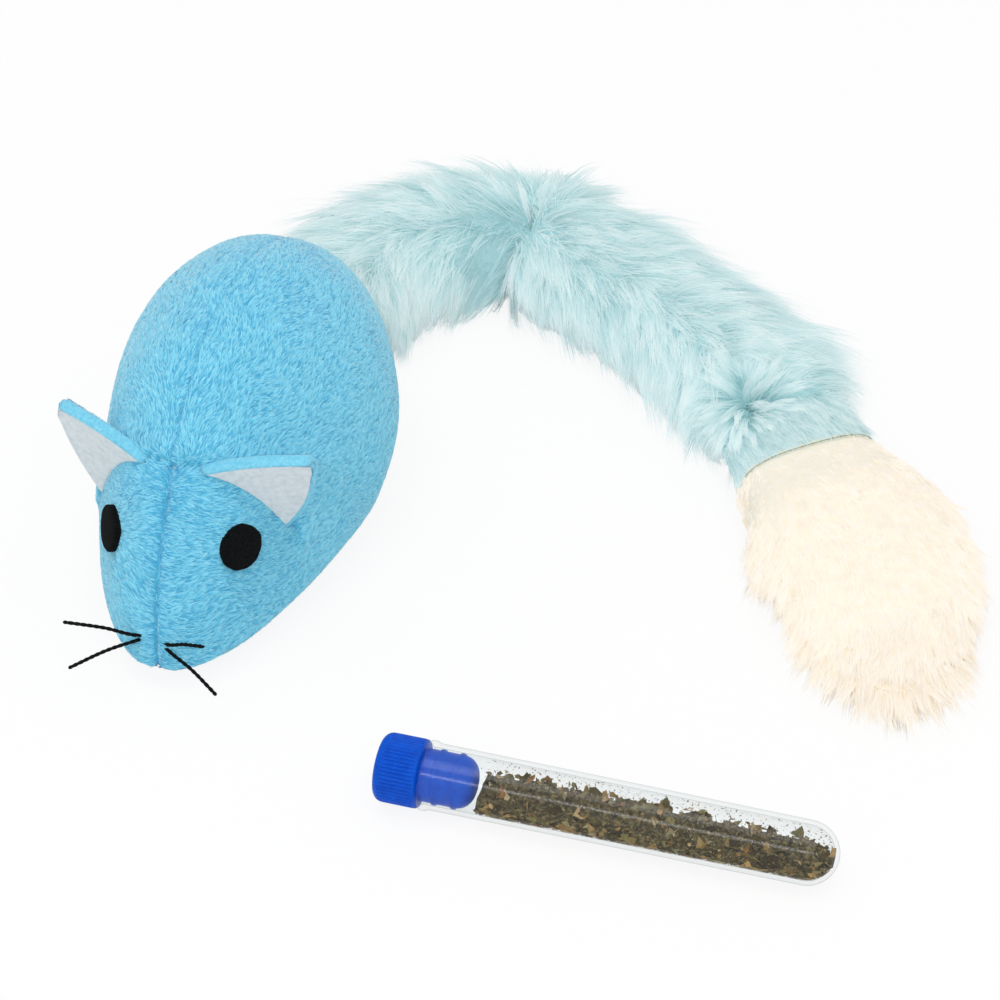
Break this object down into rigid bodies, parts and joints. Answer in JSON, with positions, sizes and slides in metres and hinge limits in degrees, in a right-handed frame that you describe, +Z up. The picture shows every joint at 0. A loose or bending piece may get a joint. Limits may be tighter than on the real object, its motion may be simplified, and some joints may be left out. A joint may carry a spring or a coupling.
{
  "type": "catnip mouse toy",
  "caption": "Stuffed plush mouse cat toy with felt ears and eyes, thread whiskers, a long bending fur tail and a belly pouch, with a stoppered vial of dried catnip.",
  "frame": {"origin": "middle of the flat belly, on the floor", "axes": "+Z up, the mouse faces -Y and its own left side is +X"},
  "size_m": [0.1732, 0.1789, 0.0583],
  "materials": {
    "plush_blue": "short pile plush",
    "felt_white": "felt",
    "felt_black": "felt",
    "thread_black": "waxed thread",
    "fur_aqua": "long pile fur fabric",
    "fur_cream": "short pile fur fabric",
    "fibre_white": "polyester fibre filling",
    "lining_blue": "woven lining",
    "tape_white": "hook and loop tape",
    "tube_clear": "clear",
    "stopper_blue": "semi-gloss",
    "herb": "dried leaf"
  },
  "bodies": {
    "mouse_body": {"side_panel_left": "plush_blue", "side_panel_right": "plush_blue", "belly_panel": "plush_blue", "fibre_filling": "fibre_white", "catnip_pouch": "lining_blue", "belly_loop_strip": "tape_white", "eye_left": "felt_black", "eye_right": "felt_black", "whisker_thread_upper": "thread_black", "whisker_thread_lower": "thread_black"},
    "ear_left": {"ear_left_back": "plush_blue", "ear_left_lining": "felt_white"},
    "ear_right": {"ear_right_back": "plush_blue", "ear_right_lining": "felt_white"},
    "flap": {"belly_flap": "plush_blue", "flap_hook_strip": "tape_white"},
    "tail_base": {"tail_base": "fur_aqua"},
    "tail_middle": {"tail_middle": "fur_aqua"},
    "tail_tip": {"tail_tip_upper": "fur_cream", "tail_tip_lower": "fur_cream"},
    "vial": {"vial_tube": "tube_clear", "vial_catnip": "herb"},
    "stopper": {"vial_stopper": "stopper_blue"}
  },
  "joints": [
    {"name": "ear_left_flex", "type": "hinge", "parent": "mouse_body", "child": "ear_left", "pos_m": [0.01297, -0.02575, 0.03656], "axis": [0.5544, 0.3742, -0.7434], "range_deg": [-15, 15], "stiffness_Nm_per_rad": 0.002},
    {"name": "ear_right_flex", "type": "hinge", "parent": "mouse_body", "child": "ear_right", "pos_m": [-0.01297, -0.02575, 0.03656], "axis": [0.5544, -0.3742, 0.7434], "range_deg": [-15, 15], "stiffness_Nm_per_rad": 0.002},
    {"name": "flap_hinge", "type": "hinge", "parent": "mouse_body", "child": "flap", "pos_m": [0, 0.003, 0.0004], "axis": [-1, 0, 0], "range_deg": [0, 100]},
    {"name": "tail_root_swing", "type": "hinge", "parent": "mouse_body", "child": "tail_base", "pos_m": [0, 0.053, 0.0123], "axis": [0, 0, 1], "range_deg": [-6, 45]},
    {"name": "tail_crease_bend", "type": "hinge", "parent": "tail_base", "child": "tail_middle", "pos_m": [0.034, 0.095, 0.0123], "axis": [0, 0, 1], "range_deg": [-6, 50]},
    {"name": "tail_tip_fold", "type": "hinge", "parent": "tail_middle", "child": "tail_tip", "pos_m": [0.10447, 0.0419, 0.007], "axis": [-0.766, -0.6428, 0], "range_deg": [0, 50]},
    {"name": "vial_lift", "type": "slide", "parent": "mouse_body", "child": "vial", "axis": [0, 0, 1], "range_m": [0, 0.06]},
    {"name": "stopper_pull", "type": "slide", "parent": "vial", "child": "stopper", "axis": [-1, 0, 0], "range_m": [0, 0.025]}
  ]
}
